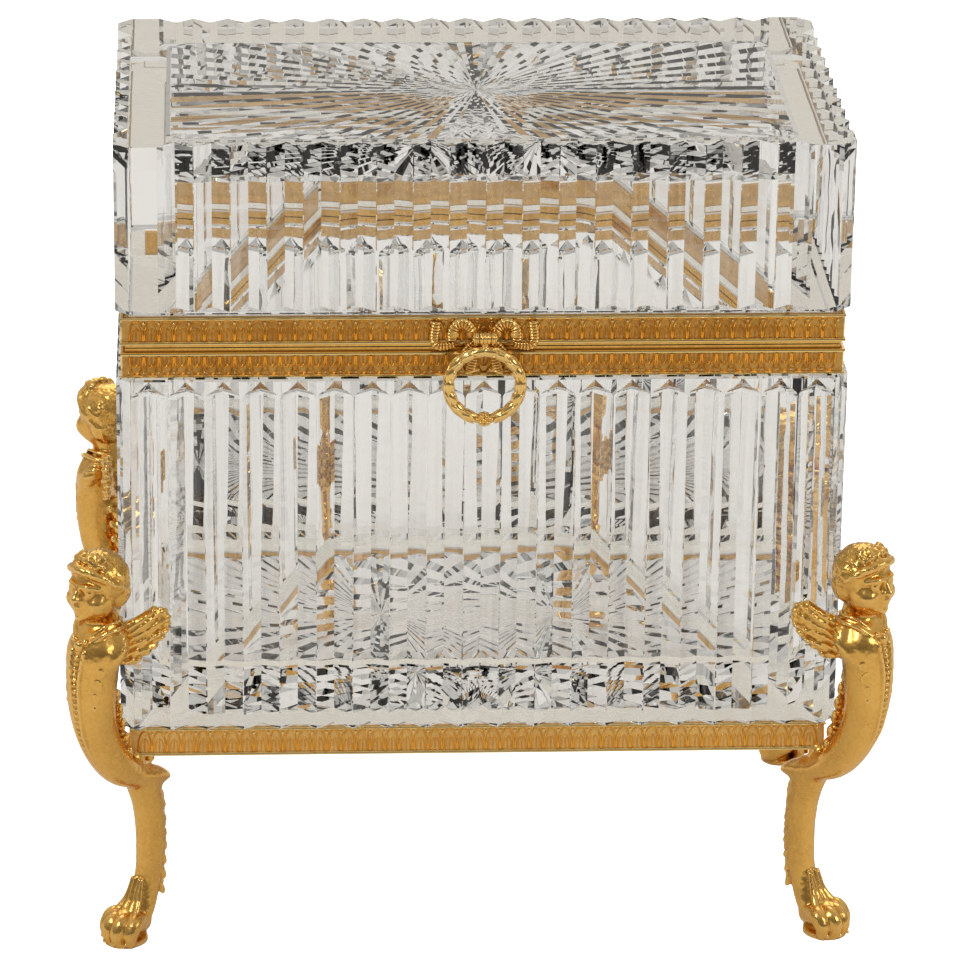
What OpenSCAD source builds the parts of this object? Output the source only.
// Cut-crystal vanity trinket box in gilt mounts, on four winged-figure legs.
// +Z up, front towards -Y, origin on the resting plane under the centre.

/* [Crystal] */
// Width over the flute crests
box_w = 200; // [180:1:230]
// Depth over the flute crests
box_d = 120; // [110:1:140]
// Depth of the V flutes
flute_depth = 3.8; // [1:0.1:4.5]
// Flutes across the lower crystal's front and back
flutes_front = 19; // [12:1:24]
// Flutes across each of the lower crystal's sides
flutes_side = 11; // [7:1:14]
// Width of the plain land beside each corner of the lid
lid_land = 7.8; // [4:0.1:10]
// Plan length of the corner facet
corner_cut = 3.8; // [2:0.1:5]
// Wall from crest to cavity
wall = 14; // [12:1:16]
// Corner radius of the two cavities
cavity_r = 6; // [4:1:10]

/* [Levels] */
// Underside of the base frame
base_z = 56; // [50:0.5:62]
// Height of the base frame
base_h = 8.3; // [8:0.1:10]
// Top of the crests of the lower crystal
body_top = 169; // [150:0.5:175]
// Parting plane and hinge axis
part_z = 177.5; // [177:0.5:180]
// Bottom of the crests of the lid crystal
lid_z = 187.5; // [187:0.5:190]
// Top of the lid
lid_top = 235.5; // [225:0.5:245]

/* [Mounts] */
// How far the rim bands sit in from the crests
rim_inset = 1.25; // [1:0.05:2]
// How far the base band sits in from the crests
base_inset = 2.3; // [2:0.1:4]
// Thickness of the stamped bands
band_t = 1.3; // [1:0.1:1.6]
// Thickness of the frames' skirts
skirt_t = 1; // [0.8:0.1:1.2]

/* [Hinge] */
// Length of the hinge
hinge_len = 90; // [60:5:120]
// Radius of the hinge barrel
barrel_r = 2; // [1.8:0.1:2]
// Radius of the hinge pin
pin_r = 1; // [0.8:0.1:1.1]

/* [Ring] */
// Mean radius of the ring pull
ring_r = 9.8; // [8:0.1:11]
// Radius of the ring's section
ring_t = 1.6; // [1.2:0.1:1.8]

/* [Hidden] */
$fn = 48;
eps = 0.01;              // overlap of pieces that join
past = 1;               // how far a cutter runs past its work
fit = 0.05;             // radial clearance of every pin and screw
part_gap = 0.3;         // gap between the two rims when the lid is shut
bed_t = 0.6;            // thickness of the cement beds
plate_t = 1.7;          // thickness of the rim plates
floor_t = 13;           // floor of the lower crystal
frame_w = 13;           // width of the base frame's shelf
bed_in = 0.4;           // how far the cement stays back from its edges
play = 0.2;             // assembly play between neighbours
ceiling_t = 12;         // ceiling of the lid crystal
crystal_z = base_z + base_h + bed_t;
floor_z = crystal_z + floor_t;
ceiling_z = lid_top - ceiling_t;

// half sizes in plan, as [x, y]
crest = [box_w / 2, box_d / 2];
rim_out = crest - [rim_inset, rim_inset];
rim_skirt = rim_out - [band_t, band_t];
neck = rim_skirt - [skirt_t + play, skirt_t + play];
cavity = crest - [wall, wall];
window = cavity + [part_gap, part_gap];
base_out = crest - [base_inset, base_inset];
base_skirt = base_out - [band_t, band_t];
base_window = base_skirt - [frame_w, frame_w];

// rim levels, from the parting plane outwards
body_plate_top = part_z - part_gap / 2;
body_plate_z = body_plate_top - plate_t;
body_neck_top = body_plate_z - bed_t;
lid_plate_z = part_z + part_gap / 2;
lid_plate_top = lid_plate_z + plate_t;
lid_neck_z = lid_plate_top + bed_t;
band_gap = 1.1;         // band edge to parting plane
body_band = [body_top + play, part_z - band_gap];
lid_band = [part_z + band_gap, lid_z - 1.2];  // the lid's crests stand 1.2 clear of its band

// hinge, in the plane across its axis
leaf_t = 1;
leaf_face = rim_out.y + leaf_t;
axis_y = leaf_face + barrel_r + play;
knuckles = 5;
knuckle = hinge_len / knuckles;
knuckle_gap = 0.3;
leaf_h = 6.8;
leaf_lift = 0.9;        // leaf edge to axis height
screw_r = 0.8;
screw_head = [1.5, 0.7];            // radius, thickness
screw_x = hinge_len * 0.4;
hinge_screw_drop = 4.6; // screw row to axis height
stop_reach = 4.6;       // radius of the stop's tip
stop_under = 1.35;      // meets the lower leaf at 100 degrees
stop_over = 0.9;
stop_w = 6;

// bow, staple and ring
pivot = [0, -rim_out.y - 4.8, part_z + 4.4];    // axis of the ring's pin
eye_r = 1.9;
eye_w = 3;
ring_pin_r = 0.8;
ring_drop = eye_r + ring_t + play;  // pivot to the centre line's top
cheek_r = 1.7;
cheek_x = [eye_w / 2 + 0.3, eye_w / 2 + 1.8];
staple_plate = [9.2, 1, 5.6];
bow_half = 12.4;
bow_h = 7;
bow_loop = [6.6, 2.5, 1.2];         // centre in x, radius, section radius
bow_t = 1.4;
rivet_r = 0.7;
rivet_head = 0.5;
rivet_x = [3.5, staple_plate.x / 2 + play + bow_loop[0] / 2];

// legs: points [outwards from the crystal corner, height, radius]
leg_spine = [[7.7, 103, 4.8], [10.2, 90, 7.6], [10.4, 77, 6.2], [6, 63, 5.8],
             [0, 53, 5.2], [-13.2, 46, 4.4], [-10.8, 30, 4.2], [-8.5, 11, 4.2]];
head = [7.7, 112.9, 9.4];
paw = [-10, 4.5, 12, 9];            // heel, toe roots, width, height
toe_r = 3.2;
wing_t = 2;
wing_off = 3.6;                     // crest to the wing's inner face
wing = [[-1, 89], [3, 85.5], [10, 89.5], [16, 98], [15.5, 101.5], [12.5, 104], [6, 101], [2, 99], [-1, 98]];
seat = [4, 47];                     // radius and foot of the round seat under the frame
leg_clear = 0.3;
leg_screw_r = 1.5;
leg_screw_in = 11;                  // inwards from the corner, along the diagonal
gusset = 17;                        // corner block of the base frame
head_z = base_z + base_h - 2.4;     // seat of the leg screws' heads

gilt = "goldenrod";
dark_gilt = "darkgoldenrod";
crystal = "lightcyan";
cement = "linen";

// ---- plan outlines ----

// One fluted edge of a plan on its -Y side: n flutes from first crest to last,
// with a plain land of that width at each end.
function fluted_edge(n, half, out, land) =
    let(start = corner_cut - half + land, pitch = -2 * start / n)
    concat(land > 0 ? [[corner_cut - half, -out]] : [],
           [for (i = [0 : 2 * n]) [start + i * pitch / 2, i % 2 == 0 ? -out : flute_depth - out]],
           land > 0 ? [[half - corner_cut, -out]] : []);

// Points turned by a degrees about the origin.
function turned(points, a) = [for (p = points) [p.x * cos(a) - p.y * sin(a), p.x * sin(a) + p.y * cos(a)]];

module fluted_plan(n_front, n_side, land) {
    front = fluted_edge(n_front, crest.x, crest.y, land);
    side = fluted_edge(n_side, crest.y, crest.x, land);
    polygon(concat(front, turned(side, 90), turned(front, 180), turned(side, 270)));
}

module chamfered_plan(half, cut) {
    polygon([[-half.x + cut, -half.y], [half.x - cut, -half.y], [half.x, -half.y + cut],
             [half.x, half.y - cut], [half.x - cut, half.y], [-half.x + cut, half.y],
             [-half.x, half.y - cut], [-half.x, -half.y + cut]]);
}

module rect_plan(half) {
    square(2 * half, center = true);
}

module rounded_plan(half, r) {
    union() {
        square([2 * half.x - 2 * r, 2 * half.y], center = true);
        square([2 * half.x, 2 * half.y - 2 * r], center = true);
        for (sx = [-1, 1], sy = [-1, 1])
            translate([sx * (half.x - r), sy * (half.y - r)]) circle(r);
    }
}

module slab(z0, z1) {
    translate([0, 0, z0]) linear_extrude(z1 - z0) children();
}

// A ring plate between two plans.
module ring_slab(z0, z1, outer, inner) {
    difference() {
        slab(z0, z1) rect_plan(outer);
        slab(z0 - past, z1 + past) rounded_plan(inner, cavity_r);
    }
}

// ---- crystal ----

module body_crystal() {
    strip = 3.2;        // plain strip over the run-outs
    color(crystal, 0.5)
    difference() {
        union() {
            slab(crystal_z, body_top - strip) fluted_plan(flutes_front, flutes_side, 0);
            slab(body_top - strip, body_top) chamfered_plan(crest, corner_cut);
            slab(body_top - eps, body_neck_top) chamfered_plan(neck, corner_cut / 2);
        }
        slab(floor_z, part_z) rounded_plan(cavity, cavity_r);
    }
}

module lid_crystal() {
    foot = 1;           // plain strip under the flutes
    color(crystal, 0.5)
    difference() {
        union() {
            slab(lid_neck_z, lid_z + eps) chamfered_plan(neck, corner_cut / 2);
            slab(lid_z, lid_z + foot) chamfered_plan(crest, corner_cut);
            slab(lid_z + foot, lid_top) fluted_plan(flutes_front - 1, flutes_side - 1, lid_land);
        }
        slab(part_z, ceiling_z) rounded_plan(cavity, cavity_r);
    }
}

// ---- stamped bands ----

// Cross-section of a band: two fillets with a sunk field between, x outwards.
module band_profile(h) {
    fillet = 1.1;
    slope = 0.3;
    field = band_t - 0.5;
    polygon([[0, 0], [band_t, 0], [band_t, fillet], [field, fillet + slope],
             [field, h - fillet - slope], [band_t, h - fillet], [band_t, h], [0, h]]);
}

// One mitred strip of length 2 * half.x on the -Y face of a frame.
module band_strip(half, z) {
    inner = half - [band_t, band_t];
    intersection() {
        translate([-half.x, -inner.y, z[0]])
            rotate([90, 0, 90]) mirror([1, 0, 0]) linear_extrude(2 * half.x) band_profile(z[1] - z[0]);
        slab(z[0] - past, z[1] + past)
            polygon([[-half.x, -half.y], [half.x, -half.y], [inner.x, -inner.y], [-inner.x, -inner.y]]);
    }
}

module band_front(half, z) {
    color(gilt) band_strip(half, z);
}

module band_side(half, z, side) {
    color(gilt) rotate([0, 0, side * 90]) band_strip([half.y, half.x], z);
}

// ---- base ----

module each_corner() {
    for (sx = [0, 1], sy = [0, 1])
        mirror([sx, 0, 0]) mirror([0, sy, 0]) children();
}

// Moves children from the local frame of the front left corner, where +X points
// outwards along the diagonal, to their place.
module at_corner() {
    translate([-crest.x, -crest.y, 0]) rotate([0, 0, 225]) children();
}

module base_frame() {
    ledge = 1.6;        // thickness of the shelf and of the skirt
    color(dark_gilt)
    difference() {
        slab(base_z, base_z + base_h) rect_plan(base_skirt);
        slab(base_z - past, base_z + base_h - ledge)
            difference() {
                rect_plan(base_skirt - [ledge, ledge]);
                for (sx = [-1, 1], sy = [-1, 1])
                    translate([sx * (base_skirt.x - gusset / 2), sy * (base_skirt.y - gusset / 2)])
                        square(gusset, center = true);
            }
        slab(base_z - past, base_z + base_h + past) rounded_plan(base_window, cavity_r);
        each_corner() at_corner() translate([-leg_screw_in, 0, 0]) {
            translate([0, 0, base_z - past]) cylinder(r = leg_screw_r, h = base_h + 2 * past);
            translate([0, 0, head_z]) cylinder(r = 2 * leg_screw_r, h = 3);
        }
    }
}

module base_bed() {
    color(cement) ring_slab(base_z + base_h, crystal_z, base_skirt - [bed_in, bed_in], base_window + [bed_in, bed_in]);
}

module leg_screws() {
    shank = 9;
    color(dark_gilt)
    each_corner() at_corner() translate([-leg_screw_in, 0, head_z]) {
        cylinder(r = 2 * leg_screw_r - fit, h = 2);
        translate([0, 0, -shank]) cylinder(r = leg_screw_r - fit, h = shank + eps);
    }
}

// ---- rims ----

// A rim frame: plate at the parting plane, skirt over the crystal's neck.
module rim_frame(plate, skirt) {
    color(dark_gilt)
    union() {
        difference() {
            slab(plate[0], plate[1]) rect_plan(rim_skirt);
            slab(plate[0] - past, plate[1] + past) rounded_plan(window, cavity_r);
        }
        difference() {
            slab(skirt[0], skirt[1]) rect_plan(rim_skirt);
            slab(skirt[0] - past, skirt[1] + past) rect_plan(rim_skirt - [skirt_t, skirt_t]);
        }
    }
}

// Bores along Y through the back of a rim, for the hinge screws.
module hinge_screw_bores(z) {
    for (x = [-screw_x, 0, screw_x])
        translate([x, leaf_face + past, z]) rotate([90, 0, 0]) cylinder(r = screw_r + fit, h = 6);
}

// Bores along Y through the front of the lid's rim, for the bow's rivets.
module rivet_bores() {
    for (x = rivet_x, s = [-1, 1])
        translate([s * x, -rim_skirt.y + 2, pivot.z]) rotate([90, 0, 0]) cylinder(r = rivet_r + fit, h = 8);
}

module body_rim_frame() {
    difference() {
        rim_frame([body_plate_z, body_plate_top], [body_band[0], body_plate_z + eps]);
        hinge_screw_bores(part_z - hinge_screw_drop);
    }
}

module lid_rim_frame() {
    difference() {
        rim_frame([lid_plate_z, lid_plate_top], [lid_plate_top - eps, lid_band[1]]);
        hinge_screw_bores(part_z + hinge_screw_drop);
        rivet_bores();
    }
}

module body_rim_bed() {
    color(cement) ring_slab(body_neck_top, body_plate_z, neck - [bed_in, bed_in], window + [bed_in, bed_in]);
}

module lid_rim_bed() {
    color(cement) ring_slab(lid_plate_top, lid_neck_z, neck - [bed_in, bed_in], window + [bed_in, bed_in]);
}

module body_band_back() {
    difference() {
        mirror([0, 1, 0]) band_front(rim_out, body_band);
        hinge_screw_bores(part_z - hinge_screw_drop);
    }
}

module lid_band_back() {
    difference() {
        mirror([0, 1, 0]) band_front(rim_out, lid_band);
        hinge_screw_bores(part_z + hinge_screw_drop);
    }
}

module lid_band_front() {
    difference() {
        band_front(rim_out, lid_band);
        rivet_bores();
    }
}

// ---- hinge ----

// Knuckles first, first + 2, ... of a leaf, each with its web to the leaf.
// up is 1 for the lid's leaf and -1 for the body's.
module leaf(first, up) {
    edge = part_z + up * leaf_lift;
    difference() {
        union() {
            translate([-hinge_len / 2, rim_out.y, min(edge, edge + up * leaf_h)])
                cube([hinge_len, leaf_t, leaf_h]);
            for (i = [first : 2 : knuckles - 1])
                translate([-hinge_len / 2 + i * knuckle + knuckle_gap / 2, 0, 0]) {
                    translate([0, axis_y, part_z])
                        rotate([0, 90, 0]) cylinder(r = barrel_r, h = knuckle - knuckle_gap);
                    translate([0, rim_out.y, up > 0 ? part_z : part_z - barrel_r])
                        cube([knuckle - knuckle_gap, axis_y - rim_out.y - pin_r / 2, barrel_r]);
                }
        }
        translate([-hinge_len / 2 - past, axis_y, part_z])
            rotate([0, 90, 0]) cylinder(r = pin_r + fit, h = hinge_len + 2 * past);
        hinge_screw_bores(part_z + up * hinge_screw_drop);
    }
}

module hinge_leaf_body() {
    color(gilt) leaf(0, -1);
}

// The lid's leaf also carries the two teeth that stop the lid at 100 degrees.
module hinge_leaf_lid() {
    color(gilt)
    union() {
        leaf(1, 1);
        difference() {
            for (i = [1, 3])
                translate([-hinge_len / 2 + (i + 0.5) * knuckle - stop_w / 2, axis_y, part_z - stop_under])
                    cube([stop_w, stop_reach, stop_under + stop_over]);
            translate([-hinge_len / 2 - past, axis_y, part_z])
                rotate([0, 90, 0]) cylinder(r = pin_r + fit, h = hinge_len + 2 * past);
        }
    }
}

module hinge_pin() {
    head_t = 0.8;
    color(dark_gilt)
    translate([-hinge_len / 2 - head_t, axis_y, part_z]) rotate([0, 90, 0]) {
        cylinder(r = pin_r, h = hinge_len + 2 * head_t);
        for (x = [0, hinge_len + head_t])
            translate([0, 0, x]) cylinder(r = barrel_r - play, h = head_t);
    }
}

module hinge_screws(z) {
    depth = leaf_face - rim_skirt.y + skirt_t;
    color(dark_gilt)
    for (x = [-screw_x, 0, screw_x])
        translate([x, leaf_face + screw_head[1], z]) rotate([90, 0, 0]) {
            cylinder(r = screw_r, h = depth + screw_head[1]);
            cylinder(r = screw_head[0], h = screw_head[1]);
        }
}

module hinge_screws_body() {
    hinge_screws(part_z - hinge_screw_drop);
}

module hinge_screws_lid() {
    hinge_screws(part_z + hinge_screw_drop);
}

// ---- bow, staple and ring pull ----

module bow() {
    plate_z = pivot.z - bow_h / 2;
    gap = staple_plate.x / 2 + play;    // half the opening round the staple
    tail = [2.4, 6.4];                  // width and length of the hanging tails
    bridge = 1.2;                       // strip over the staple that joins the two halves
    face = -rim_out.y;
    color(gilt)
    difference() {
        union() {
            for (s = [-1, 1]) {
                translate([s > 0 ? gap : -bow_half, face - bow_t, plate_z])
                    cube([bow_half - gap, bow_t, bow_h]);
                translate([s * (gap + bow_loop[0] / 2), face - bow_loop[2] - 0.4, pivot.z])
                    rotate([90, 0, 0]) rotate_extrude() translate([bow_loop[1], 0]) circle(bow_loop[2]);
                translate([s > 0 ? gap : -gap - tail.x, face - bow_t, plate_z - tail.y])
                    cube([tail.x, bow_t, tail.y + past]);
                translate([s > 0 ? bow_half - past : -bow_half - 2, face - bow_t, pivot.z - 1])
                    cube([3, bow_t, 3]);        // curled end
            }
            translate([-gap - past, face - bow_t, pivot.z + staple_plate.z / 2 + play])
                cube([2 * (gap + past), bow_t, bridge]);
        }
        rivet_bores();
    }
}

module bow_rivets() {
    tail_y = -rim_skirt.y + skirt_t;    // inner end of the shanks
    color(dark_gilt)
    for (i = [0, 1], s = [-1, 1]) {
        face = rim_out.y + (i == 0 ? staple_plate.y : bow_t);
        translate([s * rivet_x[i], tail_y, pivot.z]) rotate([90, 0, 0]) {
            cylinder(r = rivet_r, h = face + tail_y + eps);
            translate([0, 0, face + tail_y]) cylinder(r = 1, h = rivet_head);
        }
    }
}

// The bore for the ring's pin.
module pin_bore() {
    translate([-cheek_x[1] - past, pivot.y, pivot.z])
        rotate([0, 90, 0]) cylinder(r = ring_pin_r + fit, h = 2 * (cheek_x[1] + past));
}

module ring_staple() {
    face = -rim_out.y;
    color(gilt)
    difference() {
        union() {
            translate([-staple_plate.x / 2, face - staple_plate.y, pivot.z - staple_plate.z / 2])
                cube(staple_plate);
            for (s = [-1, 1]) {
                translate([s > 0 ? cheek_x[0] : -cheek_x[1], pivot.y, pivot.z - cheek_r])
                    cube([cheek_x[1] - cheek_x[0], face - staple_plate.y / 2 - pivot.y, 2 * cheek_r]);
                translate([s > 0 ? cheek_x[0] : -cheek_x[1], pivot.y, pivot.z])
                    rotate([0, 90, 0]) cylinder(r = cheek_r, h = cheek_x[1] - cheek_x[0]);
            }
        }
        pin_bore();
        for (s = [-1, 1])
            translate([s * rivet_x[0], face - staple_plate.y - 3, pivot.z])
                rotate([-90, 0, 0]) cylinder(r = 1.2, h = 3);
        rivet_bores();
    }
}

module ring_pin() {
    color(dark_gilt)
    translate([-cheek_x[1], pivot.y, pivot.z]) rotate([0, 90, 0]) cylinder(r = ring_pin_r, h = 2 * cheek_x[1]);
}

module ring_pull() {
    centre_z = pivot.z - ring_drop - ring_r;
    link = 2;           // thickness of the link from eye to ring
    color(gilt)
    difference() {
        union() {
            translate([0, pivot.y, centre_z])
                rotate([90, 0, 0]) rotate_extrude() translate([ring_r, 0]) circle(ring_t);
            translate([-eye_w / 2, pivot.y, pivot.z]) rotate([0, 90, 0]) cylinder(r = eye_r, h = eye_w);
            translate([-link / 2, pivot.y - link / 2, pivot.z - ring_drop]) cube([link, link, ring_drop - pin_r]);
        }
        pin_bore();
    }
}

// ---- legs ----

module ball(p) {
    translate([p[0], 0, p[1]]) sphere(r = p[2], $fn = 16);
}

// The front left leg: a head, a body that sweeps in under the box, a shin and a paw.
module leg_figure() {
    at_corner() {
        translate([head[0], 0, head[1]]) sphere(head[2]);
        for (i = [0 : len(leg_spine) - 2])
            hull() {
                ball(leg_spine[i]);
                ball(leg_spine[i + 1]);
            }
        translate([-leg_screw_in, 0, seat[1]]) cylinder(r = seat[0], h = base_z - seat[1]);
        translate([paw[0], -paw[2] / 2, 0]) cube([paw[1] - paw[0], paw[2], paw[3]]);
        for (i = [-1.5 : 1 : 1.5])
            translate([paw[1] + 1.8 - abs(i) * 0.8, i * 2.9, toe_r]) sphere(toe_r);
    }
}

// A wing plate on the front face, beside the front left corner.
module wing_plate() {
    translate([-crest.x - wing_t, -crest.y - wing_off, 0])
        rotate([90, 0, 0]) linear_extrude(wing_t) polygon(wing);
}

module leg() {
    color(gilt)
    difference() {
        union() {
            leg_figure();
            wing_plate();
            // the same wing on the side face, through the corner's diagonal
            translate([-crest.x, -crest.y, 0]) mirror([1, -1, 0]) translate([crest.x, crest.y, 0]) wing_plate();
        }
        slab(base_z, crystal_z + eps) rect_plan(base_out);
        slab(crystal_z - eps, lid_z) chamfered_plan(crest + [leg_clear, leg_clear], corner_cut);
        at_corner() translate([-leg_screw_in, 0, base_z - 8]) cylinder(r = leg_screw_r, h = 8 + past);
        slab(-toe_r, 0) square(2 * box_w, center = true);
    }
}

body_crystal();
lid_crystal();
base_frame();
base_bed();
band_front(base_out, [base_z, base_z + base_h]);  // base_band_front
mirror([0, 1, 0]) band_front(base_out, [base_z, base_z + base_h]);  // base_band_back
band_side(base_out, [base_z, base_z + base_h], -1);  // base_band_left
band_side(base_out, [base_z, base_z + base_h], 1);  // base_band_right
body_rim_frame();
body_rim_bed();
band_front(rim_out, body_band);  // body_band_front
body_band_back();
band_side(rim_out, body_band, -1);  // body_band_left
band_side(rim_out, body_band, 1);  // body_band_right
lid_rim_frame();
lid_rim_bed();
lid_band_front();
lid_band_back();
band_side(rim_out, lid_band, -1);  // lid_band_left
band_side(rim_out, lid_band, 1);  // lid_band_right
hinge_leaf_body();
hinge_leaf_lid();
hinge_pin();
hinge_screws_body();
hinge_screws_lid();
bow();
bow_rivets();
ring_staple();
ring_pin();
ring_pull();
leg();  // leg_front_left
mirror([1, 0, 0]) leg();  // leg_front_right
mirror([0, 1, 0]) leg();  // leg_rear_left
mirror([1, 0, 0]) mirror([0, 1, 0]) leg();  // leg_rear_right
leg_screws();
